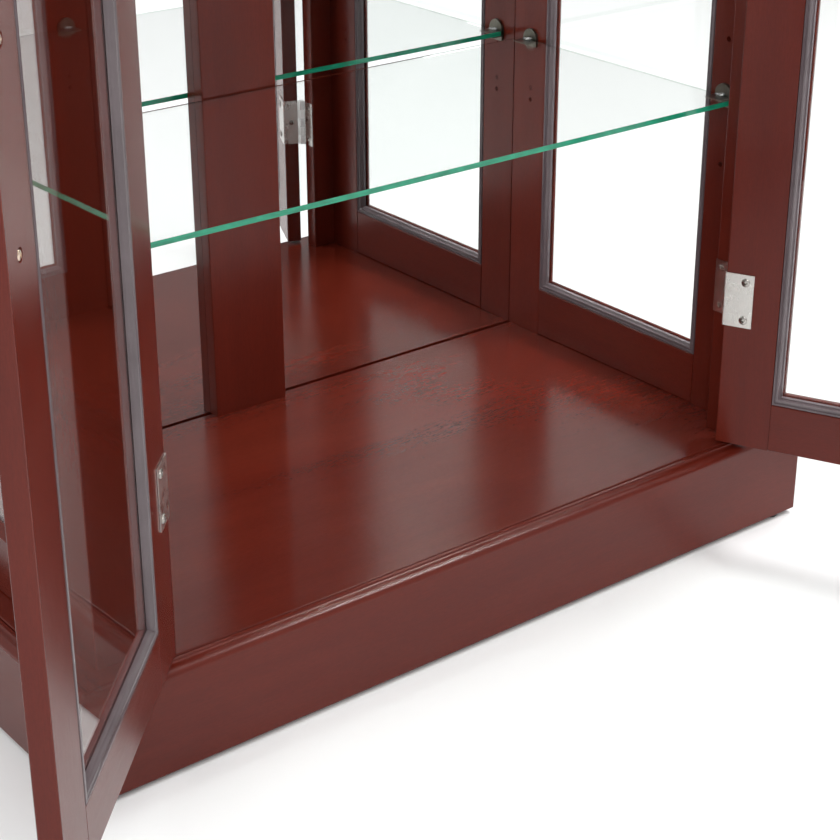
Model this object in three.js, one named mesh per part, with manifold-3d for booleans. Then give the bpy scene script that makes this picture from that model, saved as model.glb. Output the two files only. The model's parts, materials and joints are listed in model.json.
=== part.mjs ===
// Two-door glazed display case: a moulded base, a glazed carcass with a mirrored back,
// two glass shelves on clips, and two framed glass doors on wrap-round hinges.
// Millimetres. +X is to the right, +Y into the case, +Z up. The case stands on Z = 0.

import * as THREE from 'three';
import { mergeVertices } from 'three/addons/utils/BufferGeometryUtils.js';
import Module from 'manifold-3d';

const wasm = await Module();
wasm.setup();

// ---- driving dimensions ----------------------------------------------------------------

// carcass
const openingWidth = 690; // between the front posts, filled by the two doors
const openingHeight = 1070; // from the floor panel up to the top
const mirrorFaceY = 369; // from the front of the posts back to the face of the mirrors
const postWidth = 50; // a front post, seen from the front
const postFaceThickness = 18; // the part of a front post that the door closes beside
const sideThickness = 20; // a side frame
const sideStile = 52; // a side frame's upright, on its inner face
const sideRail = 56; // a side frame's rail, on its inner face
const centreStileWidth = 88;
const centreStileProud = 14; // how far the centre stile stands in front of the mirrors
const centreTongue = 20; // the part of the centre stile between the mirrors
const backRebate = 8; // how far a rear stile covers the edge of the mirror
const backThickness = 4; // the board behind the mirrors
const rearClearance = 1; // from the back board to the back of the carcass

// base and top
const baseHeight = 107; // from the ground to the top of the floor panel
const glideHeight = 6;
const glideRadius = 7;
const glideInset = 24; // along the board, from the corner of the base
const baseOverhang = 37; // how far the base stands out of the carcass, front and sides
const mouldingWidth = 16; // from the base's face in to the edge of the floor panel
const mouldingDrop = 11; // from the floor panel down to the plain face
const plinthThickness = 20;
const floorThickness = 18;
const floorGap = 3; // shadow gap between the floor panel and the mirrors
const edgeGroove = 1.2; // between the floor panel's edge and the moulding
const topThickness = 33;

// doors
const doorThickness = 18;
const doorStile = 56; // on the door's inner face
const doorRail = 51;
const doorClearance = 3; // above, below and between the doors
const leftDoorAngle = 134; // how far each door stands open
const rightDoorAngle = 115;

// glazing
const glassThickness = 3;
const mirrorThickness = 4;
const rebateWidth = 10.5; // the pocket that takes the glass and its gasket
const rebateDepth = 10.5;
const gasketWidth = 8.8;
const lipBevel = { side: { wide: 8, deep: 7 }, door: { wide: 2.5, deep: 2.5 } }; // on the outside
const gasketProud = 0.8; // how far the gasket stands out of the frame's inner face

// hinges
const hingeHeight = 56;
const hingeFromEnd = 157; // from the door's end to the middle of a hinge
const hingeGap = 1.6; // from the pin's axis to the door's edge, and to the post's edge
const barrelRadius = 4;
const barrelClearance = 0.4; // from the barrel back to the faces of the door and the post
const pinRadius = 1.6;
const leafThickness = 1;
const leafWidth = 29; // on the door's inner face
const leafScrewSpacing = 40;
const leafScrewInset = 20.5; // from the door's hinged edge
const leafScrewRadius = 2.2;
const knuckles = 5;

// handles
const handleSpacing = 128;
const handleFromEdge = 25; // from the door's free edge
const handleReach = 27; // how far the handle stands out
const handleBar = { wide: 5, thick: 3.6 }; // half sizes of the bar's section
const rosetteRadius = 7.5;
const handleScrewSeat = { radius: 5, depth: 1.2 }; // shallow seat in the door's inner face

// shelves
const shelfThickness = 5;
const shelfHeights = [340, 700]; // underside of each shelf, above the floor panel
const shelfFrontY = 30;
const shelfBackGap = 2; // between a shelf and the centre stile
const shelfSideGap = 1.2; // between a shelf and its clips
const clipWidth = 21.5;
const clipAbove = 16; // clip's top, above the underside of the glass
const clipBelow = 7;
const clipPlate = 3;
const clipLedge = { length: 14, thickness: 1.6 };
const clipPin = { radius: 2.4, length: 9, below: 4 };
const clipFrontY = 50;
const clipRearInset = 29; // from the mirrors to the rear clips
const pinHole = { clearance: 0.3, spacing: 64 };

// magnetic catch under the top
const catchSize = { width: 64, depth: 18, height: 14 };
const magnetSize = { width: 22, height: 8, proud: 1.2 };
const catchClearance = 1; // from the closed doors to the magnets

// fits
const gap = 0.3; // between pieces that touch
const glassClearance = 1.5; // between a pane's edge and its pocket
const edgeRadius = 1.6; // softened edges of the woodwork
const segments = 24;

// ---- derived dimensions ----------------------------------------------------------------

const halfOpening = openingWidth / 2;
const halfCarcass = halfOpening + postWidth;
const innerX = halfCarcass - sideThickness; // inner face of the right side frame
const floorZ = baseHeight;
const ceilingZ = floorZ + openingHeight;
const backY = mirrorFaceY + mirrorThickness + backThickness + rearClearance;
const frontStileEndY = postFaceThickness + sideStile;
const rearStileStartY = mirrorFaceY - sideStile;
const halfBase = halfCarcass + baseOverhang;
const lipThickness = { side: sideThickness - rebateDepth, door: doorThickness - rebateDepth };
const gasketHeight = rebateDepth - glassThickness - 2 * gap + gasketProud;
const doorWidth = halfOpening - 2 * hingeGap - doorClearance / 2;
const doorBottomZ = floorZ + doorClearance;
const doorHeight = openingHeight - 2 * doorClearance;
const clipRearY = mirrorFaceY - clipRearInset;
const hingeForward = barrelRadius + barrelClearance;

// ---- materials -------------------------------------------------------------------------

function finish(color, roughness, metalness, opacity = 1) {
  return { color, roughness, metalness, opacity, transparent: opacity < 1 };
}

const finishes = {
  mahogany: finish(0x5e2820, 0.32, 0),
  glass: finish(0xd8ebe2, 0.04, 0, 0.3),
  mirror: finish(0xe4e8ea, 0.03, 1),
  hardboard: finish(0x6b4a33, 0.85, 0),
  vinyl: finish(0x857b82, 0.45, 0),
  steel: finish(0xbdb9b2, 0.28, 1),
  bronze: finish(0x5b5148, 0.4, 1),
  brass: finish(0xa98a4e, 0.3, 1),
  plastic: finish(0x141312, 0.5, 0),
};

// ---- geometry helpers ------------------------------------------------------------------

function welded(geometry) {
  const bare = geometry.clone();
  bare.deleteAttribute('normal');
  bare.deleteAttribute('uv');
  return mergeVertices(bare, 1e-4);
}

function solid(geometry) {
  const bare = welded(geometry);
  const vertProperties = new Float32Array(bare.attributes.position.array);
  const triVerts = new Uint32Array(bare.index.array);
  return new wasm.Manifold(new wasm.Mesh({ numProp: 3, vertProperties, triVerts }));
}

function fromSolid(manifold) {
  const mesh = manifold.getMesh();
  const geometry = new THREE.BufferGeometry();
  geometry.setAttribute('position', new THREE.BufferAttribute(new Float32Array(mesh.vertProperties), 3));
  geometry.setIndex(new THREE.BufferAttribute(new Uint32Array(mesh.triVerts), 1));
  return geometry;
}

function cut(geometry, ...tools) {
  return fromSolid(tools.reduce((body, tool) => body.subtract(solid(tool)), solid(geometry)));
}

function join(geometry, ...others) {
  return fromSolid(others.reduce((body, other) => body.add(solid(other)), solid(geometry)));
}

// Turns the faces of an indexed solid outwards if they point in.
function facingOut(geometry) {
  const { index, attributes: { position } } = geometry;
  const corner = (i) => new THREE.Vector3().fromBufferAttribute(position, index.getX(i));
  let volume = 0;
  for (let i = 0; i < index.count; i += 3) {
    volume += corner(i).dot(corner(i + 1).cross(corner(i + 2)));
  }
  if (volume > 0) return geometry;
  for (let i = 0; i < index.count; i += 3) {
    const first = index.getX(i);
    index.setX(i, index.getX(i + 1));
    index.setX(i + 1, first);
  }
  return geometry;
}

function mirrorX(geometry) {
  return facingOut(welded(geometry).scale(-1, 1, 1));
}

// A box between two opposite corners.
function block([x0, y0, z0], [x1, y1, z1]) {
  const box = new THREE.BoxGeometry(x1 - x0, y1 - y0, z1 - z0);
  return box.translate((x0 + x1) / 2, (y0 + y1) / 2, (z0 + z1) / 2);
}

// A closed outline whose corners are softened; a corner may give its own radius.
function softOutline(corners, radius = edgeRadius) {
  const shape = new THREE.Shape();
  const count = corners.length;
  corners.forEach(([x, y, own], i) => {
    const here = new THREE.Vector2(x, y);
    const before = new THREE.Vector2(...corners[(i + count - 1) % count].slice(0, 2));
    const after = new THREE.Vector2(...corners[(i + 1) % count].slice(0, 2));
    const room = Math.min(here.distanceTo(before), here.distanceTo(after)) * 0.45;
    const soft = Math.min(own ?? radius, room);
    const start = before.sub(here).setLength(soft).add(here);
    const end = after.sub(here).setLength(soft).add(here);
    if (i === 0) shape.moveTo(start.x, start.y);
    else shape.lineTo(start.x, start.y);
    if (soft > 0) shape.quadraticCurveTo(here.x, here.y, end.x, end.y);
  });
  shape.closePath();
  return shape;
}

function upright(shape, fromZ, toZ, curveSegments = 3) {
  const depth = toZ - fromZ;
  const bar = new THREE.ExtrudeGeometry(shape, { depth, bevelEnabled: false, curveSegments });
  return bar.translate(0, 0, fromZ);
}

// A profile drawn in (Y, Z) and run along +X.
function alongX(shape, fromX, toX, curveSegments = 3) {
  const turn = new THREE.Matrix4().makeBasis(
    new THREE.Vector3(0, 1, 0),
    new THREE.Vector3(0, 0, 1),
    new THREE.Vector3(1, 0, 0),
  );
  const depth = toX - fromX;
  const bar = new THREE.ExtrudeGeometry(shape, { depth, bevelEnabled: false, curveSegments });
  return bar.applyMatrix4(turn).translate(fromX, 0, 0);
}

// A drum standing along Z, from one height to another.
function drum(radius, fromZ, toZ, sides = segments) {
  const cylinder = new THREE.CylinderGeometry(radius, radius, toZ - fromZ, sides);
  return cylinder.rotateX(Math.PI / 2).translate(0, 0, (fromZ + toZ) / 2);
}

// A closed solid through rings of the same number of points, with flat ends.
function throughRings(rings) {
  const size = rings[0].length;
  const index = [];
  const last = (rings.length - 1) * size;
  for (let r = 0; r < rings.length - 1; r += 1) {
    for (let i = 0; i < size; i += 1) {
      const a = r * size + i;
      const b = r * size + ((i + 1) % size);
      index.push(a, b, b + size, a, b + size, a + size);
    }
  }
  for (let i = 1; i < size - 1; i += 1) {
    index.push(0, i + 1, i);
    index.push(last, last + i, last + i + 1);
  }
  const geometry = new THREE.BufferGeometry();
  geometry.setAttribute('position', new THREE.Float32BufferAttribute(rings.flat(2), 3));
  geometry.setIndex(index);
  return facingOut(geometry);
}

// A slab with a flat back whose front and side edges follow [overhang, height] steps.
function mouldedSlab(steps, rearY) {
  const rings = steps.map(([overhang, z]) => {
    const x = halfCarcass + overhang;
    return [[-x, -overhang, z], [x, -overhang, z], [x, rearY, z], [-x, rearY, z]];
  });
  return throughRings(rings);
}

function quarter(centre, radii, fromAngle, toAngle, steps) {
  const points = [];
  for (let i = 0; i <= steps; i += 1) {
    const angle = fromAngle + ((toAngle - fromAngle) * i) / steps;
    points.push([centre[0] + radii[0] * Math.cos(angle), centre[1] + radii[1] * Math.sin(angle)]);
  }
  return points;
}

// ---- the assembly ----------------------------------------------------------------------

const displayCase = new THREE.Group();
const carcass = new THREE.Group();
displayCase.add(carcass);

function addPiece(parent, name, kind, geometry) {
  const mesh = new THREE.Mesh(geometry, new THREE.MeshStandardMaterial(finishes[kind]));
  mesh.name = name;
  parent.add(mesh);
}

// A piece of the right-hand side and its mirror image on the left.
function addPair(parent, name, kind, geometry) {
  addPiece(parent, `${name}_left`, kind, mirrorX(geometry));
  addPiece(parent, `${name}_right`, kind, geometry);
}

// ---- base ------------------------------------------------------------------------------

// Base profile as [distance in from the face, height]: plain face, bead, cove and a flat
// strip beside the floor panel, with a seat for the panel behind.
function baseProfile() {
  const faceTop = floorZ - mouldingDrop;
  const stripZ = floorZ - 0.8;
  const seatZ = floorZ - floorThickness - gap;
  const innerEdge = mouldingWidth - edgeGroove;
  const bead = { x: mouldingWidth * 0.54, z: mouldingDrop * 0.7 };
  const cove = { x: mouldingWidth * 0.18, z: stripZ - 0.6 - (faceTop + bead.z) };
  const beadArc = quarter([bead.x, faceTop], [bead.x, bead.z], Math.PI, Math.PI / 2, 8);
  const coveCentre = [bead.x, faceTop + bead.z + cove.z];
  const coveArc = quarter(coveCentre, [cove.x, cove.z], -Math.PI / 2, 0, 4);
  const outline = [
    [0, glideHeight],
    ...beadArc,
    ...coveArc,
    [bead.x + cove.x, stripZ],
    [innerEdge, stripZ],
    [innerEdge, seatZ],
    [plinthThickness, seatZ],
    [plinthThickness, glideHeight],
  ];
  return new THREE.Shape(outline.map(([x, z]) => new THREE.Vector2(x, z)));
}

// A board with the base profile. place(inset, z, end) says where a profile point goes.
function profileBoard(place) {
  const board = welded(new THREE.ExtrudeGeometry(baseProfile(), { depth: 1, bevelEnabled: false }));
  const position = board.attributes.position;
  for (let i = 0; i < position.count; i += 1) {
    const [inset, z, end] = [position.getX(i), position.getY(i), position.getZ(i) > 0.5];
    position.setXYZ(i, ...place(inset, z, end));
  }
  return facingOut(board);
}

function addBase() {
  const frontY = -baseOverhang;
  const mitre = gap / 2;
  const front = profileBoard((inset, z, end) => [
    (end ? -1 : 1) * (halfBase - inset - mitre), frontY + inset, z,
  ]);
  const side = profileBoard((inset, z, end) => [
    halfBase - inset, end ? frontY + inset + mitre : backY, z,
  ]);
  addPiece(carcass, 'plinth_front', 'mahogany', front);
  addPair(carcass, 'plinth_side', 'mahogany', side);

  const halfBack = halfBase - plinthThickness - gap;
  const seatZ = floorZ - floorThickness - gap;
  const back = block([-halfBack, backY - plinthThickness, glideHeight], [halfBack, backY, seatZ]);
  addPiece(carcass, 'plinth_back', 'mahogany', back);

  const edge = baseOverhang - mouldingWidth;
  const softZ = floorZ - edgeRadius;
  const crown = quarter([edge - edgeRadius, softZ], [edgeRadius, edgeRadius], 0, Math.PI / 2, 3);
  const slab = mouldedSlab([[edge, floorZ - floorThickness], ...crown], backY);
  const notchHalf = innerX + backRebate;
  const notch = block(
    [-notchHalf, mirrorFaceY - floorGap, floorZ - floorThickness - 1],
    [notchHalf, backY + 1, floorZ + 1],
  );
  addPiece(carcass, 'floor_panel', 'mahogany', cut(slab, notch));
}

function addGlides() {
  const profile = [
    [0, glideHeight - gap], [glideRadius * 0.8, glideHeight - gap], [glideRadius, 4], [glideRadius, 1.5],
    [glideRadius - 1.5, 0], [0, 0],
  ].reverse();
  const points = profile.map(([r, z]) => new THREE.Vector2(r, z));
  const frontRow = -baseOverhang + plinthThickness / 2;
  const rearRow = backY - plinthThickness / 2;
  for (const [row, y] of [['front', frontRow], ['rear', rearRow]]) {
    const glide = new THREE.LatheGeometry(points, segments).rotateX(Math.PI / 2);
    glide.translate(halfBase - glideInset, y, 0);
    addPair(carcass, `glide_${row}`, 'plastic', glide);
  }
}

// ---- side frames -----------------------------------------------------------------------

// Blind holes for the shelf clips, in the inner face of the right side frame.
function pinHoles(y) {
  const radius = clipPin.radius + pinHole.clearance;
  const holes = [];
  for (const shelf of shelfHeights) {
    for (const step of [-1, 0, 1]) {
      const hole = new THREE.CylinderGeometry(radius, radius, 2 * (clipPin.length + 1), 12);
      const z = floorZ + shelf - clipPin.below + step * pinHole.spacing;
      holes.push(hole.rotateZ(Math.PI / 2).translate(innerX, y, z));
    }
  }
  return holes;
}

// Front post: a face beside the door and, behind it, the side frame's front upright.
function frontPost() {
  const lipX = innerX + rebateDepth;
  const tipY = frontStileEndY + rebateWidth;
  const bevel = lipBevel.side;
  const outline = softOutline([
    [halfOpening, 0], [halfCarcass, 0], [halfCarcass, tipY - bevel.wide, 0.8],
    [halfCarcass - bevel.deep, tipY, 0.8], [lipX, tipY, 0.8], [lipX, frontStileEndY, 0],
    [innerX, frontStileEndY], [innerX, postFaceThickness, 0], [halfOpening, postFaceThickness],
  ]);
  return cut(upright(outline, floorZ + gap, ceilingZ - gap), ...pinHoles(clipFrontY));
}

// Rear upright: rebated in front for the side glass and behind for the mirror.
function rearStile() {
  const lipX = innerX + rebateDepth;
  const tipY = rearStileStartY - rebateWidth;
  const bevel = lipBevel.side;
  const outline = softOutline([
    [halfCarcass - bevel.deep, tipY, 0.8], [halfCarcass, tipY + bevel.wide, 0.8], [halfCarcass, backY],
    [innerX + backRebate, backY, 0], [innerX + backRebate, mirrorFaceY - gap, 0],
    [innerX, mirrorFaceY - gap, 0.8], [innerX, rearStileStartY], [lipX, rearStileStartY, 0],
    [lipX, tipY, 0.8],
  ]);
  return cut(upright(outline, floorZ + gap, ceilingZ - gap), ...pinHoles(clipRearY));
}

// A frame's rail in its own frame: X along it, Y from the outer face in, Z up from its
// outer edge. Its ends are scribed over the sloping lips of the uprights.
function copedRail(length, height, thickness, bevel) {
  const lip = thickness - rebateDepth;
  const tipZ = height + rebateWidth;
  const outline = softOutline([
    [0, 0], [thickness, 0], [thickness, height], [lip, height, 0], [lip, tipZ, 0.8],
    [bevel.deep, tipZ, 0.8], [0, tipZ - bevel.wide, 0.8],
  ]);
  const slopeStart = rebateWidth - bevel.wide;
  const lipShape = softOutline([
    [-1, -1], [slopeStart, -1], [slopeStart, 0], [rebateWidth, bevel.deep], [rebateWidth, lip + gap],
    [-1, lip + gap],
  ], 0);
  const nearEnd = upright(lipShape, -1, tipZ + 1);
  const farEnd = mirrorX(nearEnd).translate(length, 0, 0);
  return cut(alongX(outline, 0, length), nearEnd, farEnd);
}

// Turns a piece of a frame into the right side frame: its X runs back along the case.
function intoSide(geometry) {
  const turn = new THREE.Matrix4().makeBasis(
    new THREE.Vector3(0, 1, 0),
    new THREE.Vector3(-1, 0, 0),
    new THREE.Vector3(0, 0, 1),
  );
  return geometry.applyMatrix4(turn).translate(halfCarcass, frontStileEndY, 0);
}

// Turns a bottom rail over, end for end, into a top rail whose outer edge is at height z.
function turnedOver(geometry, length, z) {
  const turn = new THREE.Matrix4().set(-1, 0, 0, length, 0, 1, 0, 0, 0, 0, -1, z, 0, 0, 0, 1);
  return geometry.applyMatrix4(turn);
}

// A pane in the pocket of a frame, in the frame's own directions.
function pane(width, height, lip) {
  const near = lip + gap;
  return block(
    [glassClearance, near, glassClearance],
    [width - glassClearance, near + glassThickness, height - glassClearance],
  );
}

// The ribbed vinyl bead that holds a pane: its section runs round the pocket, mitred.
function gasket(width, height, lip) {
  const w = gasketWidth;
  const h = gasketHeight;
  const section = [
    [0, 0], [0, h * 0.86], [w * 0.06, h * 0.96], [w * 0.3, h], [w * 0.36, h * 0.84],
    [w * 0.42, h * 0.84], [w * 0.48, h * 0.93], [w * 0.66, h * 0.84], [w * 0.72, h * 0.62],
    [w * 0.88, h * 0.42], [w * 0.93, h * 0.48], [w, h * 0.3], [w, 0],
  ];
  const base = lip + glassThickness + 2 * gap;
  const corner = (signX, signZ) => section.map(([inset, rise]) => {
    const reachX = width / 2 - gap - inset;
    const reachZ = height / 2 - gap - inset;
    return [width / 2 + signX * reachX, base + rise, height / 2 + signZ * reachZ];
  });
  const corners = [corner(-1, -1), corner(1, -1), corner(1, 1), corner(-1, 1)];
  const count = section.length;
  const index = [];
  for (let c = 0; c < corners.length; c += 1) {
    for (let i = 0; i < count; i += 1) {
      const a = c * count + i;
      const b = c * count + ((i + 1) % count);
      const shift = (((c + 1) % corners.length) - c) * count;
      index.push(a, b + shift, b, a, a + shift, b + shift);
    }
  }
  const geometry = new THREE.BufferGeometry();
  geometry.setAttribute('position', new THREE.Float32BufferAttribute(corners.flat(2), 3));
  geometry.setIndex(index);
  return facingOut(geometry);
}

function addSides() {
  addPair(carcass, 'front_post', 'mahogany', frontPost());
  addPair(carcass, 'rear_stile', 'mahogany', rearStile());

  const length = rearStileStartY - frontStileEndY;
  const lip = lipThickness.side;
  const rail = () => copedRail(length - 2 * gap, sideRail, sideThickness, lipBevel.side)
    .translate(gap, 0, 0);
  const bottomRail = rail().translate(0, 0, floorZ + gap);
  const topRail = turnedOver(rail(), length, ceilingZ - gap);
  addPair(carcass, 'side_bottom_rail', 'mahogany', intoSide(bottomRail));
  addPair(carcass, 'side_top_rail', 'mahogany', intoSide(topRail));

  const pocketHeight = openingHeight - 2 * sideRail - 2 * gap;
  const raise = floorZ + gap + sideRail;
  const glass = pane(length, pocketHeight, lip).translate(0, 0, raise);
  const bead = gasket(length, pocketHeight, lip).translate(0, 0, raise);
  addPair(carcass, 'side_glass', 'glass', intoSide(glass));
  addPair(carcass, 'side_gasket', 'vinyl', intoSide(bead));
}

// ---- back ------------------------------------------------------------------------------

function addBack() {
  const bottomZ = floorZ - floorThickness;
  const topZ = ceilingZ - gap;
  const half = centreStileWidth / 2;
  const tongue = centreTongue / 2;
  const faceY = mirrorFaceY - centreStileProud;
  const tongueY = mirrorFaceY + mirrorThickness;
  const flange = softOutline([
    [-half, faceY], [half, faceY], [half, mirrorFaceY - gap, 0], [tongue, mirrorFaceY - gap, 0],
    [tongue, tongueY, 0], [-tongue, tongueY, 0], [-tongue, mirrorFaceY - gap, 0],
    [-half, mirrorFaceY - gap, 0],
  ]);
  addPiece(carcass, 'centre_stile', 'mahogany', upright(flange, floorZ + gap, topZ));

  const edge = innerX + backRebate - gap;
  const mirror = block(
    [tongue + gap, mirrorFaceY, bottomZ],
    [edge, mirrorFaceY + mirrorThickness, topZ],
  );
  addPair(carcass, 'mirror', 'mirror', mirror);

  const boardY = tongueY + gap;
  const board = block([-edge, boardY, bottomZ], [edge, boardY + backThickness, topZ]);
  addPiece(carcass, 'back_board', 'hardboard', board);
}

// ---- top -------------------------------------------------------------------------------

// Cornice steps as [overhang, height]: a cove, a fillet, a round nose and a soft top edge.
function addTop() {
  const reach = baseOverhang;
  const neck = reach * 0.14;
  const fillet = reach * 0.6;
  const coveTop = ceilingZ + topThickness * 0.4;
  const noseBottom = ceilingZ + topThickness * 0.5;
  const noseTop = ceilingZ + topThickness * 0.76;
  const cove = quarter(
    [fillet, ceilingZ + 2], [fillet - neck, coveTop - ceilingZ - 2], Math.PI, Math.PI / 2, 7,
  );
  const nose = quarter(
    [fillet, noseTop], [reach - fillet, noseTop - noseBottom], -Math.PI / 2, 0, 7,
  );
  const topZ = ceilingZ + topThickness;
  const crown = quarter([reach - 2.5, topZ - 2.5], [2.5, 2.5], 0, Math.PI / 2, 3);
  const steps = [[neck, ceilingZ], ...cove, [fillet, noseBottom - 0.01], ...nose.slice(1), ...crown];
  addPiece(carcass, 'top_panel', 'mahogany', mouldedSlab(steps, backY));

  const half = catchSize.width / 2;
  const frontY = doorThickness + catchClearance;
  const lowZ = ceilingZ - gap - catchSize.height;
  const body = block(
    [-half, frontY + magnetSize.proud, lowZ],
    [half, frontY + catchSize.depth, ceilingZ - gap],
  );
  const middleZ = (lowZ + ceilingZ - gap) / 2;
  const magnets = [-1, 1].map((side) => {
    const x = side * (half / 2);
    return block(
      [x - magnetSize.width / 2, frontY, middleZ - magnetSize.height / 2],
      [x + magnetSize.width / 2, frontY + catchSize.depth / 2, middleZ + magnetSize.height / 2],
    );
  });
  addPiece(carcass, 'magnetic_catch', 'plastic', join(body, ...magnets));
}

// ---- shelves ---------------------------------------------------------------------------

// Right-hand clip: an arched plate against the side frame, a ledge and a pin.
function shelfClip(y, z) {
  const half = clipWidth / 2;
  const plate = new THREE.Shape();
  plate.moveTo(-half, -clipBelow);
  plate.lineTo(half, -clipBelow);
  plate.lineTo(half, clipAbove - half);
  plate.absarc(0, clipAbove - half, half, 0, Math.PI, false);
  plate.closePath();
  const face = innerX - gap;
  const arch = alongX(plate, face - clipPlate, face, 8).translate(0, y, z);
  const ledge = block(
    [face - clipPlate - clipLedge.length, y - half, z - gap - clipLedge.thickness],
    [face - clipPlate / 2, y + half, z - gap],
  );
  const pin = new THREE.CylinderGeometry(clipPin.radius, clipPin.radius, clipPin.length + 1, 12);
  pin.rotateZ(Math.PI / 2).translate(face + (clipPin.length - 1) / 2, y, z - clipPin.below);
  return join(arch, ledge, pin);
}

function addShelves() {
  const halfShelf = innerX - gap - clipPlate - shelfSideGap;
  const rearY = mirrorFaceY - centreStileProud - shelfBackGap;
  shelfHeights.forEach((height, level) => {
    const z = floorZ + height;
    const place = ['lower', 'upper'][level] ?? `level_${level + 1}`;
    const outline = softOutline([
      [-halfShelf, shelfFrontY, 4], [halfShelf, shelfFrontY, 4], [halfShelf, rearY, 4],
      [-halfShelf, rearY, 4],
    ]);
    addPiece(carcass, `${place}_shelf`, 'glass', upright(outline, z, z + shelfThickness));
    addPair(carcass, `${place}_clip_front`, 'bronze', shelfClip(clipFrontY, z));
    addPair(carcass, `${place}_clip_rear`, 'bronze', shelfClip(clipRearY, z));
  });
}

// ---- hinges ----------------------------------------------------------------------------

// Hinge pieces are drawn for the left door, closed, round the pin's axis: +X towards the
// door, +Y into the case.
function knuckleRange(i) {
  const pitch = hingeHeight / knuckles;
  const low = -hingeHeight / 2 + i * pitch;
  return [low + (i > 0 ? gap / 2 : 0), low + pitch - (i < knuckles - 1 ? gap / 2 : 0)];
}

function leafWith(plate, ownKnuckles) {
  let leaf = plate;
  for (let i = 0; i < knuckles; i += 1) {
    const [low, high] = knuckleRange(i);
    if (ownKnuckles(i)) leaf = join(leaf, drum(barrelRadius, low, high));
    else leaf = cut(leaf, drum(barrelRadius + gap, low - gap, high + gap));
  }
  return leaf;
}

// The door's leaf wraps the hinged edge and lies on the door's inner face.
function doorLeaf() {
  const outerX = hingeGap - gap;
  const innerFaceY = hingeForward + doorThickness + gap;
  const plan = softOutline([
    [outerX - leafThickness, 0, 0], [outerX, 0, 0], [outerX, innerFaceY, 0.3],
    [hingeGap + leafWidth, innerFaceY, 0], [hingeGap + leafWidth, innerFaceY + leafThickness, 0],
    [outerX - leafThickness, innerFaceY + leafThickness, 1.2],
  ]);
  const screwX = hingeGap + leafScrewInset;
  const screwHole = (z) => {
    const hole = new THREE.CylinderGeometry(leafScrewRadius, leafScrewRadius, 6, 16);
    return hole.translate(screwX, innerFaceY + leafThickness / 2, z);
  };
  const edgeHole = new THREE.CylinderGeometry(leafScrewRadius, leafScrewRadius, 6, 16)
    .rotateZ(Math.PI / 2)
    .translate(hingeGap, hingeForward + doorThickness / 2, 0);
  const plate = upright(plan, -hingeHeight / 2, hingeHeight / 2);
  const leaf = leafWith(plate, (i) => i % 2 === 1);
  const bore = drum(pinRadius + gap / 3, -hingeHeight / 2 - 1, hingeHeight / 2 + 1);
  const half = leafScrewSpacing / 2;
  return cut(leaf, bore, screwHole(-half), screwHole(half), edgeHole);
}

// The post's leaf lies on the post's edge, and carries the pin.
function postLeaf() {
  const nearX = -hingeGap + gap;
  const farX = nearX + leafThickness;
  const rearY = hingeForward + postFaceThickness;
  const plan = softOutline([[nearX, 0, 0], [farX, 0, 0], [farX, rearY, 0.4], [nearX, rearY, 0.4]]);
  const plate = upright(plan, -hingeHeight / 2, hingeHeight / 2);
  const leaf = leafWith(plate, (i) => i % 2 === 0);
  const middleY = hingeForward + postFaceThickness * 0.55;
  const half = leafScrewSpacing / 2;
  const holes = [-half, half].map((z) => {
    const hole = new THREE.CylinderGeometry(leafScrewRadius, leafScrewRadius, 6, 16);
    return hole.rotateZ(Math.PI / 2).translate(nearX, middleY, z);
  });
  const pin = drum(pinRadius, -hingeHeight / 2, hingeHeight / 2);
  return join(cut(leaf, ...holes), pin);
}

// ---- doors -----------------------------------------------------------------------------

function doorStilePiece(freeSide) {
  const lip = lipThickness.door;
  const tipX = doorStile + rebateWidth;
  const bevel = lipBevel.door;
  const outline = softOutline([
    [0, 0, 2.4], [tipX - bevel.wide, 0, 0.8], [tipX, bevel.deep, 0.8], [tipX, lip, 0.8],
    [doorStile, lip, 0], [doorStile, doorThickness, 0.8], [0, doorThickness],
  ]);
  const stile = upright(outline, 0, doorHeight);
  if (!freeSide) return stile;
  const seats = [-1, 1].map((end) => {
    const { radius, depth } = handleScrewSeat;
    const seat = new THREE.CylinderGeometry(radius, radius, 2 * depth, segments);
    return seat.translate(handleFromEdge, doorThickness, doorHeight / 2 + (end * handleSpacing) / 2);
  });
  return mirrorX(cut(stile, ...seats)).translate(doorWidth, 0, 0);
}

// Bow handle on two round feet, in front of the door's outer face.
function handle() {
  const half = handleSpacing / 2;
  const reach = handleReach;
  const bow = new THREE.CatmullRomCurve3([
    new THREE.Vector3(0, -1, -half),
    new THREE.Vector3(0, -reach * 0.55, -half + 3),
    new THREE.Vector3(0, -reach * 0.9, -half * 0.66),
    new THREE.Vector3(0, -reach, 0),
    new THREE.Vector3(0, -reach * 0.9, half * 0.66),
    new THREE.Vector3(0, -reach * 0.55, half - 3),
    new THREE.Vector3(0, -1, half),
  ]);
  const section = new THREE.Shape().absellipse(0, 0, handleBar.thick, handleBar.wide, 0, 2 * Math.PI);
  const bar = new THREE.ExtrudeGeometry(section, { steps: 36, extrudePath: bow, curveSegments: 6 });
  const foot = (z) => {
    const points = [[0, 0], [rosetteRadius, 0], [rosetteRadius, 1.4], [rosetteRadius * 0.6, 3.6], [0, 4]];
    const profile = points.map(([r, rise]) => new THREE.Vector2(r, rise));
    return new THREE.LatheGeometry(profile, segments).rotateX(Math.PI).translate(0, -gap, z);
  };
  return join(bar, foot(-half), foot(half));
}

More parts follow.
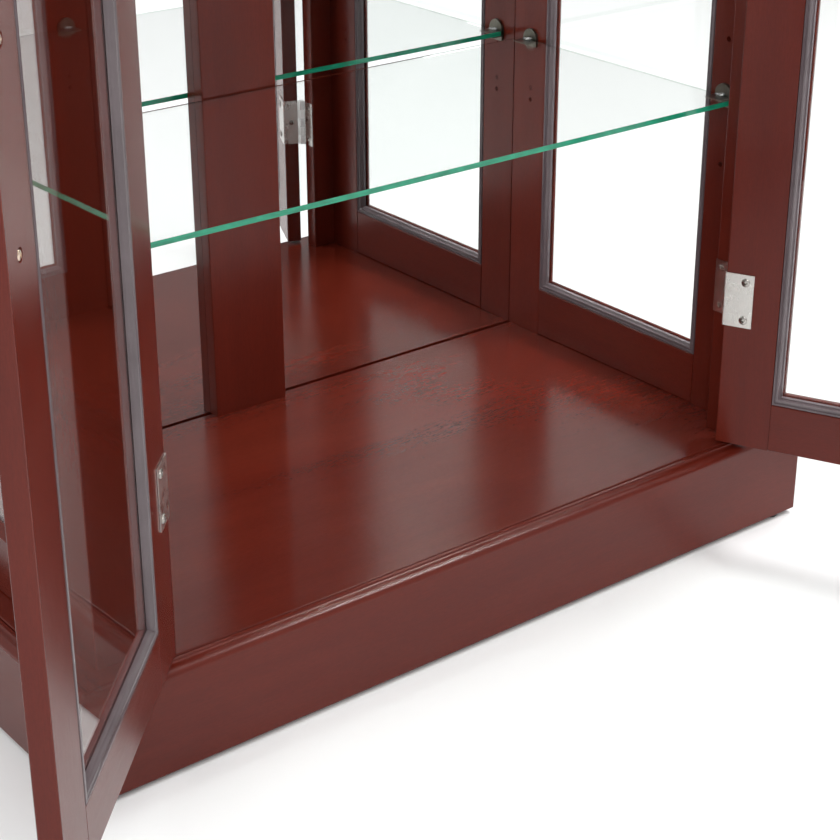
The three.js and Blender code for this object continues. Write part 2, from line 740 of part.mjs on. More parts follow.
// Every piece of a door, drawn for the left door, closed, round the pin's axis.
function doorPieces() {
  const lip = lipThickness.door;
  const railLength = doorWidth - 2 * doorStile - 2 * gap;
  const rail = () => copedRail(railLength, doorRail, doorThickness, lipBevel.door);
  const railX = doorStile + gap;
  const pocketWidth = doorWidth - 2 * doorStile;
  const pocketHeight = doorHeight - 2 * doorRail;
  const place = (geometry) => geometry.translate(hingeGap, hingeForward, doorBottomZ);
  return [
    ['hinge_stile', 'mahogany', place(doorStilePiece(false))],
    ['free_stile', 'mahogany', place(doorStilePiece(true))],
    ['bottom_rail', 'mahogany', place(rail().translate(railX, 0, 0))],
    ['top_rail', 'mahogany', place(turnedOver(rail(), railLength, doorHeight).translate(railX, 0, 0))],
    ['glass', 'glass', place(pane(pocketWidth, pocketHeight, lip).translate(doorStile, 0, doorRail))],
    ['gasket', 'vinyl', place(gasket(pocketWidth, pocketHeight, lip).translate(doorStile, 0, doorRail))],
    ['handle', 'brass', place(handle().translate(doorWidth - handleFromEdge, 0, doorHeight / 2))],
  ];
}

function addDoor(side, angle) {
  const name = side < 0 ? 'left' : 'right';
  const sided = (geometry) => (side < 0 ? geometry : mirrorX(geometry));
  const pivot = [side * (halfOpening - hingeGap), -hingeForward, 0];
  const door = new THREE.Group();
  door.position.set(...pivot);
  door.rotation.z = THREE.MathUtils.degToRad(side * angle);
  displayCase.add(door);
  for (const [piece, kind, geometry] of doorPieces()) {
    addPiece(door, `${name}_door_${piece}`, kind, sided(geometry));
  }
  const heights = { lower: doorBottomZ + hingeFromEnd, upper: doorBottomZ + doorHeight - hingeFromEnd };
  for (const [place, z] of Object.entries(heights)) {
    addPiece(door, `${name}_${place}_hinge_door_leaf`, 'steel', sided(doorLeaf().translate(0, 0, z)));
    const fixed = sided(postLeaf().translate(0, 0, z)).translate(pivot[0], pivot[1], 0);
    addPiece(carcass, `${name}_${place}_hinge_post_leaf`, 'steel', fixed);
  }
}

addBase();
addGlides();
addSides();
addBack();
addTop();
addShelves();
addDoor(-1, leftDoorAngle);
addDoor(1, rightDoorAngle);

// Origin on the ground, under the middle of the case with its doors standing open.
const extent = new THREE.Box3().setFromObject(displayCase, true);
const middle = extent.getCenter(new THREE.Vector3());
displayCase.position.set(-Math.round(middle.x), -Math.round(middle.y), 0);

export default displayCase;
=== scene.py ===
import json
import math

import bmesh
import bpy
from mathutils import Matrix, Vector


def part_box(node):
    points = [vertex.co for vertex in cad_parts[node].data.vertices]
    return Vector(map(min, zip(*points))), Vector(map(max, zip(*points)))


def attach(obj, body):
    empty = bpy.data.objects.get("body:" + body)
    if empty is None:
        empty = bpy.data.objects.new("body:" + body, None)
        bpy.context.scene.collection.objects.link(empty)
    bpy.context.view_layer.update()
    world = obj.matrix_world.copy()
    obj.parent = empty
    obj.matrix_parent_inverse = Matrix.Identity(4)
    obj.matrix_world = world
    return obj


# The looks of a two-door glazed display case: stained and lacquered mahogany, thin glass,
# mirrors, ribbed vinyl beads and small metal fittings, in metres in the CAD's frame.

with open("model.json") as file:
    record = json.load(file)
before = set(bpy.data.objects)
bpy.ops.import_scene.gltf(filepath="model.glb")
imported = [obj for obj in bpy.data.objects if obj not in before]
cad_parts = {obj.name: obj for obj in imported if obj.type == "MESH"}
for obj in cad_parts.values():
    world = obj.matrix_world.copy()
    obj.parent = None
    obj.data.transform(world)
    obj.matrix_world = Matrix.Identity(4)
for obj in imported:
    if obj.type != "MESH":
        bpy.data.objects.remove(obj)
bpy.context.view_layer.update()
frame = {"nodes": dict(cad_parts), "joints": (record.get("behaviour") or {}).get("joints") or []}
nodes = frame["nodes"]

# ---- sizes that the CAD shares with this script, in metres -------------------------------

MM = 0.001
FLOOR_EDGE = 21 * MM  # from the floor panel's front edge back to the plane of the posts
HINGE_GAP = 1.6 * MM  # from a hinge pin's axis to the door's edge, and to the post's edge
HINGE_FORWARD = 4.4 * MM  # from a hinge pin's axis back to the faces of door and post
DOOR_THICKNESS = 18 * MM
POST_THICKNESS = 18 * MM
LEAF = 1 * MM
FIT = 0.3 * MM
LEAF_SCREW_INSET = 20.5 * MM
LEAF_SCREW_SPACING = 40 * MM
HANDLE_SPACING = 128 * MM
HANDLE_FROM_EDGE = 25 * MM
EDGE_SCREW_SUNK = 1.3 * MM  # edge screws are set into their plates, clear of the closed door
SCREW_SEAT = 1.2 * MM  # depth of the seats under the handle screws
CLIP_PLATE = 3 * MM
DOOR_MEETING_GAP = 1.5 * MM  # from a closed door's free edge to the middle of the case

# ---- sizes of the pieces that this script adds, and how the rounds are smoothed ----------

POST_SCREW_PLACE = 0.55  # how far across the post's edge its screws stand, as a share of it
HINGE_SCREW = (4.4 * MM, 1.7 * MM)  # radius and height of the head
HANDLE_SCREW = (3.6 * MM, 1.9 * MM)
HEAD_STEPS = 40
PAD_SIZE = (7 * MM, 8 * MM, 2 * MM)
PAD_ROUND = 0.6 * MM
PAD_CLEARANCE = 0.02 * MM
JOIN_DISTANCE = 0.01 * MM
ROUND_ANGLE = math.radians(38)  # edges that turn less than this are part of a round
HEAD_ROUND_ANGLE = math.radians(35)

# ---- finish, light and camera ------------------------------------------------------------

NOISE_LOW, NOISE_HIGH = 0.3, 0.7  # the band that a noise's values mostly lie in
WOOD_GLOSS, FLOOR_GLOSS = 0.21, 0.19  # roughness of the lacquer
DOOR_TONE = 1.05  # the doors' wood is a little lighter than the case's
KEY_POWER, STRIP_POWER = 90, 72
SKY_HORIZON, SKY_OVERHEAD = 0.62, 0.85
STAGE_HALF = 15.0
LENS_MM = 82.36
CAMERA_PLACE = (-1.023, -1.226, 0.968)  # from the middle of the case's front, on the floor
CAMERA_PITCH = math.radians(90 - 25.07)
CAMERA_YAW = math.radians(-38.39)


def middle(node):
    low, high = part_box(node)
    return (low + high) / 2


floor_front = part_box("floor_panel")[0].y
case_front = Vector((middle("floor_panel").x, floor_front + FLOOR_EDGE, 0))


# ---- node trees --------------------------------------------------------------------------


class Shader:
    """A material's node tree, with a short way to add a node and feed its inputs."""

    def __init__(self, name):
        self.material = bpy.data.materials.new(name)
        self.material.use_nodes = True
        self.tree = self.material.node_tree
        self.tree.nodes.clear()

    def add(self, kind, settings=None, **inputs):
        node = self.tree.nodes.new("ShaderNode" + kind)
        for name, value in (settings or {}).items():
            setattr(node, name, value)
        for name, value in inputs.items():
            self.feed(node.inputs[name.replace("_", " ")], value)
        return node

    def feed(self, socket, value):
        if isinstance(value, bpy.types.NodeSocket):
            self.tree.links.new(value, socket)
        elif isinstance(socket.default_value, float) or not hasattr(value, "__len__"):
            socket.default_value = value
        elif len(socket.default_value) == 4 and len(value) == 3:
            socket.default_value = (*value, 1)
        else:
            socket.default_value = value

    def place(self, turn=(0, 0, 0), scale=(1, 1, 1), shift=(0, 0, 0)):
        """The object's own coordinates, turned first and then stretched."""
        coords = self.add("TexCoord").outputs["Object"]
        turned = self.add("Mapping", Vector=coords, Rotation=turn, Location=shift)
        return self.stretch(turned.outputs[0], scale)

    def stretch(self, vector, scale):
        return self.add("Mapping", Vector=vector, Scale=scale).outputs[0]

    def noise(self, vector, scale=1.0, detail=2.0, rough=0.5, distort=0.0):
        node = self.add("TexNoise", Vector=vector, Scale=scale, Detail=detail)
        node.inputs["Roughness"].default_value = rough
        node.inputs["Distortion"].default_value = distort
        return node.outputs["Fac"]

    def shades(self, value, dark, light):
        """A colour that goes from dark to light across a noise's usual band."""
        return self.ramp(value, [(NOISE_LOW, dark), (NOISE_HIGH, light)])

    def ramp(self, value, stops):
        node = self.add("ValToRGB", Fac=value)
        while len(node.color_ramp.elements) < len(stops):
            node.color_ramp.elements.new(0.5)
        for element, (at, colour) in zip(node.color_ramp.elements, stops):
            element.position = at
            element.color = (*colour, 1) if len(colour) == 3 else colour
        return node.outputs["Color"]

    def spread(self, value, low, high, from_low=NOISE_LOW, from_high=NOISE_HIGH):
        """Maps a value from the band that it lies in to low..high."""
        node = self.add("MapRange", Value=value, To_Min=low, To_Max=high)
        node.inputs["From Min"].default_value = from_low
        node.inputs["From Max"].default_value = from_high
        return node.outputs["Result"]

    def math(self, operation, a, b):
        node = self.add("Math", {"operation": operation})
        self.feed(node.inputs[0], a)
        self.feed(node.inputs[1], b)
        return node.outputs[0]

    def tint(self, colour, factor):
        """colour times a grey factor."""
        node = self.add("VectorMath", {"operation": "SCALE"}, Vector=colour, Scale=factor)
        return node.outputs[0]

    def bump(self, height, distance, strength=1.0, under=None):
        node = self.add("Bump", Height=height, Distance=distance, Strength=strength)
        if under is not None:
            self.feed(node.inputs["Normal"], under)
        return node.outputs["Normal"]

    def finish(self, surface):
        output = self.add("OutputMaterial")
        self.tree.links.new(surface, output.inputs["Surface"])
        return self.material


def grey(level):
    return (level, level, level)


# ---- materials ---------------------------------------------------------------------------

VERTICAL = (0, math.radians(90), 0)
ALONG_X = (0, 0, 0)
ALONG_Y = (0, 0, math.radians(-90))


def mahogany(name, turn, seed, tone=1.0, gloss=WOOD_GLOSS):
    """Stained mahogany under gloss lacquer. turn brings the grain onto X."""
    s = Shader(name)
    shift = (0.37 * seed, 0.61 * seed, 0.23 * seed)
    along = s.place(turn, (1, 1, 1), shift)
    figure = s.noise(s.stretch(along, (2.2, 9, 9)), detail=3, rough=0.5, distort=0.5)
    ribbon = s.noise(s.stretch(along, (1.4, 45, 45)), detail=2, rough=0.5, distort=0.3)
    fibre = s.noise(s.stretch(along, (40, 700, 700)), detail=2, rough=0.6)
    flecks = s.noise(s.stretch(along, (230, 900, 900)), detail=1.5, rough=0.5, distort=0.5)
    pores = s.noise(s.stretch(along, (120, 1300, 1300)), detail=1)
    stain = s.ramp(figure, [
        (0.30, (0.080 * tone, 0.0082 * tone, 0.0040 * tone)),
        (0.50, (0.093 * tone, 0.0102 * tone, 0.0050 * tone)),
        (0.70, (0.108 * tone, 0.0130 * tone, 0.0064 * tone)),
    ])
    streaks = s.math("MULTIPLY", s.spread(ribbon, 0.95, 1.05), s.spread(fibre, 0.95, 1.05))
    dark_pores = s.spread(pores, 0.92, 1.0, 0.32, 0.42)
    dashes = s.math("MULTIPLY", dark_pores, s.spread(flecks, 0.95, 1.05))
    colour = s.tint(stain, s.math("MULTIPLY", streaks, dashes))
    rough = s.spread(fibre, gloss - 0.02, gloss + 0.04)
    grain_bump = s.bump(flecks, 0.00003, 0.3)
    wood = s.add("BsdfPrincipled", Base_Color=colour, Roughness=rough, Normal=grain_bump, IOR=1.5)
    wood.inputs["Specular IOR Level"].default_value = 0.28
    return s.finish(wood.outputs[0])


def thin_glass(name, tint=(0.955, 0.98, 0.968), edge=None):
    """Clear sheet glass that lets lamplight through. edge colours its upright faces, where they are
    met from outside, and they give off a faint painted glow in that colour; from inside the glass
    they are a grey line."""
    s = Shader(name)
    streak = s.noise(s.place(scale=(5, 5, 9)), detail=2)
    wave = s.bump(streak, 0.0004, 0.04)
    clear = s.add("BsdfPrincipled", Base_Color=tint, Roughness=0.0, IOR=1.5, Normal=wave)
    clear.inputs["Transmission Weight"].default_value = 1.0
    shadow = s.add("BsdfTransparent", Color=tint)
    path = s.add("LightPath")
    glass = s.add("MixShader", Fac=path.outputs["Is Shadow Ray"])
    s.tree.links.new(clear.outputs[0], glass.inputs[1])
    s.tree.links.new(shadow.outputs[0], glass.inputs[2])
    if edge is None:
        return s.finish(glass.outputs[0])
    chips = s.noise(s.place(scale=(60, 60, 260)), detail=3)
    edge_green_and_glow = s.shades(chips, tuple(c * 0.6 for c in edge), edge)
    side = s.add("BsdfPrincipled", Base_Color=edge_green_and_glow, Roughness=0.12, IOR=1.5)
    # painted glow: the upright faces give off a little light in their own green, though they are no
    # lamp
    side.inputs["Emission Strength"].default_value = 0.12
    s.tree.links.new(edge_green_and_glow, side.inputs["Emission Color"])
    geometry = s.add("NewGeometry")
    facing = s.add("SeparateXYZ", Vector=geometry.outputs["True Normal"])
    upright = s.math("LESS_THAN", s.math("ABSOLUTE", facing.outputs["Z"], 0), 0.5)
    grey_line = s.add("BsdfTransparent", Color=(0.62, 0.70, 0.67))
    rim = s.add("MixShader", Fac=geometry.outputs["Backfacing"])
    s.tree.links.new(side.outputs[0], rim.inputs[1])
    s.tree.links.new(grey_line.outputs[0], rim.inputs[2])
    both = s.add("MixShader", Fac=upright)
    s.tree.links.new(glass.outputs[0], both.inputs[1])
    s.tree.links.new(rim.outputs[0], both.inputs[2])
    return s.finish(both.outputs[0])


def silvered(name):
    s = Shader(name)
    film = s.noise(s.place(scale=(3, 3, 6)), detail=4)
    silver = s.shades(film, (0.84, 0.86, 0.855), (0.90, 0.915, 0.91))
    rough = s.spread(film, 0.004, 0.02, 0.35, 0.7)
    mirror = s.add("BsdfPrincipled", Base_Color=silver, Roughness=rough, Metallic=1.0)
    return s.finish(mirror.outputs[0])


def ribbed_vinyl(name):
    """Smooth grey vinyl bead with a soft gloss and a trace of dust."""
    s = Shader(name)
    place = s.place()
    cloud = s.noise(s.stretch(place, (25, 25, 25)), detail=2)
    dust = s.noise(s.stretch(place, (1600, 1600, 1600)), detail=2)
    colour = s.shades(cloud, (0.098, 0.074, 0.080), (0.124, 0.096, 0.103))
    colour = s.tint(colour, s.spread(dust, 0.92, 1.06))
    rough = s.spread(dust, 0.10, 0.17)
    skin = s.bump(dust, 0.00004, 0.3)
    bead = s.add("BsdfPrincipled", Base_Color=colour, Roughness=rough, Normal=skin)
    return s.finish(bead.outputs[0])


def metal(name, dark, light, rough, brushed=(1, 1, 1), scratch=0.00003):
    """Plated metal: tone and gloss vary softly, with fine lines along the brushing."""
    s = Shader(name)
    place = s.place()
    cloud = s.noise(s.stretch(place, (70, 70, 70)), detail=2, rough=0.5)
    lines = s.noise(s.stretch(place, tuple(2500 * b for b in brushed)), detail=2)
    colour = s.shades(lines, dark, light)
    colour = s.tint(colour, s.spread(cloud, 0.96, 1.03))
    line_rough = s.spread(lines, rough - 0.03, rough + 0.03, 0, 1)
    wear = s.math("ADD", s.spread(cloud, -0.02, 0.03), line_rough)
    scored = s.bump(lines, scratch, 0.5)
    shiny = s.add(
        "BsdfPrincipled", Base_Color=colour, Metallic=1.0, Roughness=wear, Normal=scored,
    )
    return s.finish(shiny.outputs[0])


def moulded_plastic(name, colour):
    s = Shader(name)
    place = s.place()
    cloud = s.noise(s.stretch(place, (150, 150, 150)), detail=3)
    grit = s.noise(s.stretch(place, (3000, 3000, 3000)), detail=1)
    body = s.shades(cloud, tuple(c * 0.7 for c in colour), tuple(c * 1.3 for c in colour))
    rough = s.spread(cloud, 0.42, 0.58)
    skin = s.bump(grit, 0.00008, 0.4)
    plastic = s.add("BsdfPrincipled", Base_Color=body, Roughness=rough, Normal=skin)
    return s.finish(plastic.outputs[0])


def plain_board(name):
    """Bare hardboard: matted fibres, no finish."""
    s = Shader(name)
    place = s.place()
    fibres = s.noise(s.stretch(place, (180, 400, 700)), detail=5, rough=0.7)
    blotch = s.noise(s.stretch(place, (6, 6, 6)), detail=3)
    colour = s.shades(fibres, (0.10, 0.048, 0.024), (0.19, 0.10, 0.054))
    colour = s.tint(colour, s.spread(blotch, 0.94, 1.06))
    matted = s.bump(fibres, 0.0002, 0.6)
    board = s.add("BsdfPrincipled", Base_Color=colour, Roughness=0.85, Normal=matted)
    return s.finish(board.outputs[0])


def clear_plastic(name):
    s = Shader(name)
    cloud = s.noise(s.place(scale=(400, 400, 400)), detail=2)
    colour = s.shades(cloud, (0.86, 0.88, 0.88), (0.96, 0.97, 0.97))
    pad = s.add("BsdfPrincipled", Base_Color=colour, Roughness=0.12, IOR=1.45)
    pad.inputs["Transmission Weight"].default_value = 0.8
    return s.finish(pad.outputs[0])


def studio_floor(name):
    s = Shader(name)
    cloud = s.noise(s.place(scale=(0.6, 0.6, 0.6)), detail=2)
    colour = s.shades(cloud, grey(0.90), grey(0.925))
    paper = s.add("BsdfPrincipled", Base_Color=colour, Roughness=0.9)
    return s.finish(paper.outputs[0])


# ---- carried-over CAD pieces -------------------------------------------------------------


def smoothing_nodes():
    """Joins the triangles and smooths the edges that are part of a round, leaving arrises crisp."""
    group = bpy.data.node_groups.new("smooth_rounds", "GeometryNodeTree")
    for way in ("INPUT", "OUTPUT"):
        group.interface.new_socket("Geometry", in_out=way, socket_type="NodeSocketGeometry")
    add = group.nodes.new
    start, end = add("NodeGroupInput"), add("NodeGroupOutput")
    merge = add("GeometryNodeMergeByDistance")
    merge.inputs["Distance"].default_value = JOIN_DISTANCE
    bare = add("GeometryNodeRemoveAttribute")
    bare.inputs["Name"].default_value = "custom_normal"
    faces, arrises = add("GeometryNodeSetShadeSmooth"), add("GeometryNodeSetShadeSmooth")
    faces.domain, arrises.domain = "FACE", "EDGE"
    arrises.inputs["Shade Smooth"].default_value = False
    angle, steep = add("GeometryNodeInputMeshEdgeAngle"), add("FunctionNodeCompare")
    steep.operation = "GREATER_THAN"
    steep.inputs["B"].default_value = ROUND_ANGLE
    chain = [start, merge, bare, faces, arrises, end]
    for before, after in zip(chain, chain[1:]):
        group.links.new(before.outputs[0], after.inputs[0])
    group.links.new(angle.outputs["Unsigned Angle"], steep.inputs["A"])
    group.links.new(steep.outputs[0], arrises.inputs["Selection"])
    return group


smooth_rounds = smoothing_nodes()


def dress(node, material):
    """Gives a CAD node its finish, with rounds shaded smooth and flats kept flat."""
    piece = nodes[node]
    piece.data.materials.clear()
    piece.data.materials.append(material)
    smooth = piece.modifiers.new("smooth_rounds", "NODES")
    smooth.node_group = smooth_rounds
    flats = piece.modifiers.new("flat_faces", "WEIGHTED_NORMAL")
    flats.keep_sharp = True


joints = {joint["child"]: joint for joint in frame["joints"]}


def rest_turn(side):
    """How far a door is turned from closed in the rest pose, about +Z."""
    joint = joints[side + "_door"]
    return math.radians(joint["range_deg"][0]) * -joint["axis"][2]


def dress_wood():
    boards = ("plinth_front", "plinth_back", "top_panel", "floor_panel")
    for i, node in enumerate(boards):
        gloss = FLOOR_GLOSS if node == "floor_panel" else WOOD_GLOSS
        dress(node, mahogany(node + "_wood", ALONG_X, i + 1, gloss=gloss))
    dress("centre_stile", mahogany("centre_stile_wood", VERTICAL, 5))
    for i, side in enumerate(("left", "right")):
        for j, node in enumerate(("plinth_side", "side_bottom_rail", "side_top_rail")):
            name = f"{node}_{side}"
            dress(name, mahogany(name + "_wood", ALONG_Y, 7 + 3 * i + j))
        for j, node in enumerate(("front_post", "rear_stile")):
            name = f"{node}_{side}"
            dress(name, mahogany(name + "_wood", VERTICAL, 14 + 2 * i + j))
        rail_turn = (0, 0, -rest_turn(side))
        for j, node in enumerate(("hinge_stile", "free_stile", "bottom_rail", "top_rail")):
            name = f"{side}_door_{node}"
            turn = rail_turn if "rail" in node else VERTICAL
            dress(name, mahogany(name + "_wood", turn, 19 + 4 * i + j, DOOR_TONE))


def dress_glass():
    pane = thin_glass("sheet_glass")
    for side in ("left", "right"):
        dress(f"side_glass_{side}", pane)
        dress(f"{side}_door_glass", pane)
    shelf = thin_glass("shelf_glass", tint=(0.985, 0.995, 0.99), edge=(0.012, 0.27, 0.15))
    for level in ("lower", "upper"):
        dress(f"{level}_shelf", shelf)
    mirror = silvered("mirror_silver")
    for side in ("left", "right"):
        dress(f"mirror_{side}", mirror)


def dress_fittings():
    vinyl = ribbed_vinyl("vinyl")
    bronze = metal("bronze", (0.115, 0.105, 0.085), (0.19, 0.175, 0.145), 0.32, (1, 1, 0.1))
    satin = {"brushed": (1, 1, 0.12), "scratch": 0.000006}
    plate = metal("hinge_plate", (0.66, 0.645, 0.615), (0.73, 0.72, 0.69), 0.28, **satin)
    # the post leaves are a little darker than the door leaves: painted shade for leaves that sit in
    # shadow; their low roughness is their real polish
    polished = metal("hinge_post_plate", (0.60, 0.58, 0.55), (0.66, 0.64, 0.61), 0.13, **satin)
    brass = metal("aged_brass", (0.33, 0.22, 0.09), (0.55, 0.39, 0.18), 0.26, (1, 1, 0.2))
    black = moulded_plastic("black_plastic", (0.012, 0.011, 0.011))
    for side in ("left", "right"):
        dress(f"side_gasket_{side}", vinyl)
        dress(f"{side}_door_gasket", vinyl)
        dress(f"{side}_door_handle", brass)
        for row in ("front", "rear"):
            dress(f"glide_{row}_{side}", black)
            for level in ("lower", "upper"):
                dress(f"{level}_clip_{row}_{side}", bronze)
        for level in ("lower", "upper"):
            dress(f"{side}_{level}_hinge_door_leaf", plate)
            dress(f"{side}_{level}_hinge_post_leaf", polished)
    dress("magnetic_catch", black)
    dress("back_board", plain_board("hardboard"))


# ---- small pieces that only the looks need -----------------------------------------------


def mesh_object(name, mesh, body, material, matrix):
    piece = bpy.data.objects.new(name, mesh)
    bpy.context.scene.collection.objects.link(piece)
    piece.matrix_world = matrix
    if not mesh.materials:
        mesh.materials.append(material)
    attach(piece, body)
    return piece


def revolved(name, profile):
    """A mesh turned round Z from (radius, height) points that start and end on the axis."""
    mesh = bpy.data.meshes.new(name)
    bm = bmesh.new()
    line = [bm.verts.new((r, 0, z)) for r, z in profile]
    edges = [bm.edges.new(pair) for pair in zip(line, line[1:])]
    bmesh.ops.spin(
        bm, geom=line + edges, cent=(0, 0, 0), axis=(0, 0, 1), angle=2 * math.pi,
        steps=HEAD_STEPS, use_merge=True,
    )
    bmesh.ops.remove_doubles(bm, verts=bm.verts, dist=1e-6)
    bmesh.ops.recalc_face_normals(bm, faces=bm.faces)
    for face in bm.faces:
        face.smooth = True
    bm.to_mesh(mesh)
    bm.free()
    return mesh


def dome_profile(radius, height):
    """From the crown to the axis at the foot, as (radius, height) points."""
    rim = 0.3  # the height of the upright rim under the dome, as a share of the whole
    arcs = 8
    dome = [(0, height)]
    for i in range(1, arcs + 1):
        turn = math.radians(90 * i / arcs)
        dome.append((radius * math.sin(turn), height * math.cos(turn) * (1 - rim) + height * rim))
    return dome + [(radius, 0), (0, 0)]


def cross_mesh(name, radius, height):
    """Two crossed arms, narrower at the foot, that reach from near the foot to above the crown."""
    long, wide, taper, foot, top = 1.1, 0.42, 0.55, 0.12, 1.2
    bm = bmesh.new()
    for turn in (0, 90):
        arm = bmesh.ops.create_cube(bm, size=1.0)["verts"]
        for v in arm:
            narrow = taper if v.co.z < 0 else 1.0
            v.co.x *= radius * long * narrow
            v.co.y *= radius * wide * narrow
            v.co.z = height * top if v.co.z > 0 else height * foot
        bmesh.ops.rotate(bm, verts=arm, matrix=Matrix.Rotation(math.radians(turn), 3, "Z"))
    mesh = bpy.data.meshes.new(name)
    bm.to_mesh(mesh)
    bm.free()
    return mesh


def screw_head(name, radius, height):
    """A domed head, standing on Z = 0, with a tapered cross recess cut into its crown."""
    head = bpy.data.objects.new(name, revolved(name, dome_profile(radius, height)))
    cross = bpy.data.objects.new(name + "_cross", cross_mesh(name + "_cross", radius, height))
    for spare in (head, cross):
        bpy.context.scene.collection.objects.link(spare)
    cut = head.modifiers.new("cross", "BOOLEAN")
    cut.operation, cut.object, cut.solver, cut.use_self = "DIFFERENCE", cross, "EXACT", True
    bpy.context.view_layer.update()
    finished = head.evaluated_get(bpy.context.evaluated_depsgraph_get())
    mesh = bpy.data.meshes.new_from_object(finished)
    mesh.set_sharp_from_angle(angle=HEAD_ROUND_ANGLE)
    for spare in (head, cross):
        bpy.data.objects.remove(spare)
    return mesh


def pin_place(side):
    x, y, _ = joints[side + "_door"]["pos_m"]
    return Matrix.Translation((x, y, 0))


def hand(side):
    """Mirrors a left-hand drawing for the right side."""
    return Matrix.Diagonal((1 if side == "left" else -1, 1, 1, 1))


def door_frame(side):
    """Matrix from a closed left-hand door's drawing, round its pin, to where the door stands."""
    return pin_place(side) @ Matrix.Rotation(rest_turn(side), 4, "Z") @ hand(side)


def post_frame(side):
    """Matrix from a left-hand post's drawing, round its hinge pin, to where the post stands."""
    return pin_place(side) @ hand(side)


def door_width():
    """From a door's hinged edge to its free edge: half the opening, less the gaps."""
    left, right = joints["left_door"]["pos_m"][0], joints["right_door"]["pos_m"][0]
    return (right - left) / 2 - HINGE_GAP - DOOR_MEETING_GAP


def seated(frame_matrix, place, outward, twist=0.0):
    """Matrix that stands a piece drawn on Z = 0 at place, with its Z along outward."""
    at = frame_matrix @ Vector(place)
    out = (frame_matrix.to_3x3() @ Vector(outward)).normalized()
    stand = out.to_track_quat("Z", "Y").to_matrix().to_4x4()
    return Matrix.Translation(at) @ stand @ Matrix.Rotation(twist, 4, "Z")


def hinge_screw_spots(side, z):
    """Where one hinge's screws stand: label, body, frame, place in that frame and outward way."""
    door, post = door_frame(side), post_frame(side)
    face_y = HINGE_FORWARD + DOOR_THICKNESS + FIT + LEAF
    post_x = -HINGE_GAP + FIT + LEAF - EDGE_SCREW_SUNK
    post_y = HINGE_FORWARD + POST_THICKNESS * POST_SCREW_PLACE
    edge_x = HINGE_GAP - FIT - LEAF + EDGE_SCREW_SUNK
    edge_y = HINGE_FORWARD + DOOR_THICKNESS / 2
    spots = []
    for i, step in enumerate((-0.5, 0.5)):
        height = z + step * LEAF_SCREW_SPACING
        face = (HINGE_GAP + LEAF_SCREW_INSET, face_y, height)
        spots.append((f"face_{i}", side + "_door", door, face, (0, 1, 0)))
        spots.append((f"post_{i}", "carcass", post, (post_x, post_y, height), (1, 0, 0)))
    spots.append(("edge", side + "_door", door, (edge_x, edge_y, z), (-1, 0, 0)))
    return spots


def add_hinge_screws():
    head = screw_head("hinge_screw", *HINGE_SCREW)
    material = metal("screw_plate", (0.36, 0.34, 0.32), (0.46, 0.44, 0.41), 0.2, scratch=0.00001)
    for side in ("left", "right"):
        for level, first_twist in (("lower", 20), ("upper", 65)):
            z = middle(f"{side}_{level}_hinge_post_leaf").z
            for i, (label, body, place, at, out) in enumerate(hinge_screw_spots(side, z)):
                stand = seated(place, at, out, math.radians(37 * i + first_twist))
                name = f"{side}_{level}_hinge_screw_{label}"
                mesh_object(name, head, body, material, stand)


def add_handle_screws():
    head = screw_head("handle_screw", *HANDLE_SCREW)
    material = metal("screw_brass", (0.56, 0.44, 0.34), (0.78, 0.66, 0.54), 0.26)
    handle = middle("left_door_handle").z
    x = HINGE_GAP + door_width() - HANDLE_FROM_EDGE
    y = HINGE_FORWARD + DOOR_THICKNESS - SCREW_SEAT
    for side in ("left", "right"):
        for i, step in enumerate((-0.5, 0.5)):
            spot = (x, y, handle + step * HANDLE_SPACING)
            stand = seated(door_frame(side), spot, (0, 1, 0), math.radians(25 + 50 * i))
            name = f"{side}_handle_screw_{i}"
            mesh_object(name, head, side + "_door", material, stand)


def block_mesh(name, size, soften):
    """A block with rounded edges, standing on Z = 0 over the origin."""
    mesh = bpy.data.meshes.new(name)
    bm = bmesh.new()
    bmesh.ops.create_cube(bm, size=1.0)
    for v in bm.verts:
        v.co = Vector((v.co.x * size[0], v.co.y * size[1], (v.co.z + 0.5) * size[2]))
    bmesh.ops.bevel(bm, geom=bm.edges[:], offset=soften, segments=3, affect="EDGES")
    for face in bm.faces:
        face.smooth = True
    bm.to_mesh(mesh)
    bm.free()
    return mesh


def add_clip_pads():
    """A small clear bumper on each shelf, against the plate of every clip."""
    pad = block_mesh("clip_pad", PAD_SIZE, PAD_ROUND)
    material = clear_plastic("pad_plastic")
    for level in ("lower", "upper"):
        shelf_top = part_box(f"{level}_shelf")[1].z
        for row in ("front", "rear"):
            for side, inward in (("left", 1), ("right", -1)):
                name = f"{level}_clip_{row}_{side}"
                low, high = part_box(name)
                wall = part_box(f"side_bottom_rail_{side}")[1 if side == "left" else 0].x
                x = wall + inward * (CLIP_PLATE + 2 * FIT + PAD_SIZE[0] / 2)
                spot = (x, (low.y + high.y) / 2, shelf_top + PAD_CLEARANCE)
                place = Matrix.Translation(spot)
                mesh_object(name + "_pad", pad, "carcass", material, place)


# ---- stage, light and camera -------------------------------------------------------------


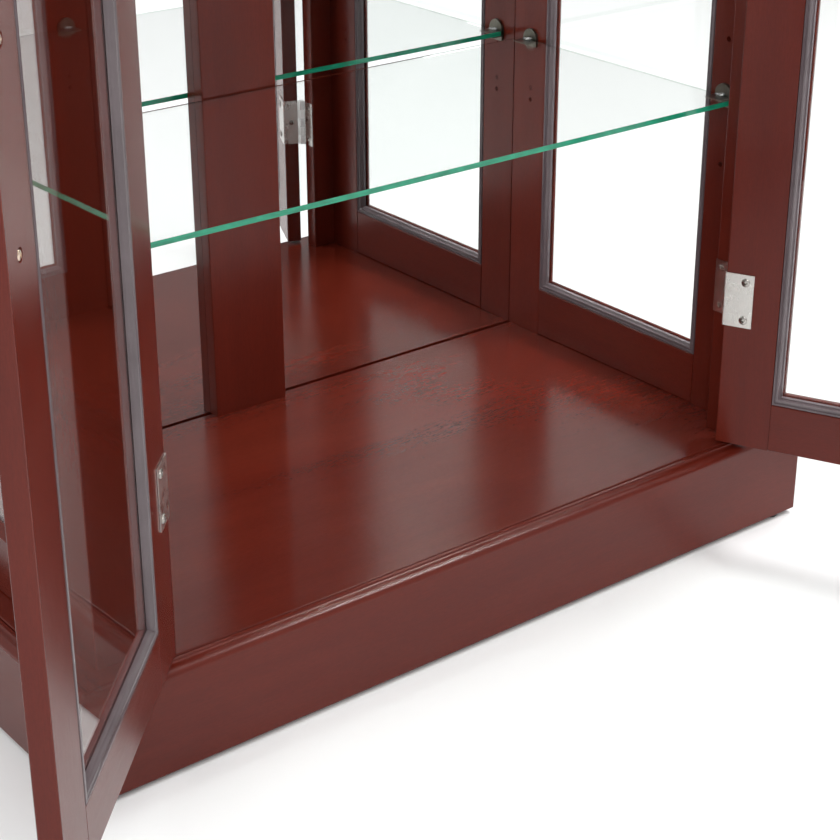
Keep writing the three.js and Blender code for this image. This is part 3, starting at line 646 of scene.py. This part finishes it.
def add_stage():
    mesh = bpy.data.meshes.new("studio_floor")
    half = STAGE_HALF
    corners = [(-half, -half, 0), (half, -half, 0), (half, half, 0), (-half, half, 0)]
    mesh.from_pydata(corners, [], [(0, 1, 2, 3)])
    mesh.materials.append(studio_floor("studio_paper"))
    floor = bpy.data.objects.new("studio_floor", mesh)
    bpy.context.scene.collection.objects.link(floor)


def add_light(name, place, aim, size, power):
    """A white rectangular lamp; its place and aim are measured from the case's front."""
    lamp = bpy.data.lights.new(name, "AREA")
    lamp.shape, lamp.size, lamp.size_y = "RECTANGLE", *size
    lamp.energy = power
    light = bpy.data.objects.new(name, lamp)
    bpy.context.scene.collection.objects.link(light)
    light.location = case_front + Vector(place)
    direction = case_front + Vector(aim) - light.location
    light.rotation_euler = direction.to_track_quat("-Z", "Y").to_euler()


def add_sky():
    """A plain studio sky: dim at the horizon, bright overhead."""
    world = bpy.data.worlds.new("studio")
    bpy.context.scene.world = world
    world.use_nodes = True
    tree = world.node_tree
    coords = tree.nodes.new("ShaderNodeTexCoord")
    split = tree.nodes.new("ShaderNodeSeparateXYZ")
    height = tree.nodes.new("ShaderNodeMapRange")
    height.inputs["From Max"].default_value = 0.9
    height.inputs["To Min"].default_value = SKY_HORIZON
    height.inputs["To Max"].default_value = SKY_OVERHEAD
    tree.links.new(coords.outputs["Generated"], split.inputs[0])
    tree.links.new(split.outputs["Z"], height.inputs["Value"])
    tree.links.new(height.outputs[0], tree.nodes["Background"].inputs["Strength"])
    tree.nodes["Background"].inputs["Color"].default_value = (1, 1, 1, 1)


def add_lights():
    add_sky()
    add_light("key", (-2.6, -2.8, 3.2), (0, 0.2, 0.3), (2.4, 1.8), KEY_POWER)
    add_light("strip", (1.8, -0.25, 3.0), (0, -0.05, 0.1), (2.2, 0.3), STRIP_POWER)


def add_camera():
    lens = bpy.data.cameras.new("camera")
    lens.lens = LENS_MM
    camera = bpy.data.objects.new("camera", lens)
    bpy.context.scene.collection.objects.link(camera)
    camera.location = case_front + Vector(CAMERA_PLACE)
    camera.rotation_euler = (CAMERA_PITCH, 0, CAMERA_YAW)
    bpy.context.scene.camera = camera


add_camera()
dress_wood()
dress_glass()
dress_fittings()
add_hinge_screws()
add_handle_screws()
add_clip_pads()
add_stage()
add_lights()
bpy.context.scene.view_settings.view_transform = "Standard"
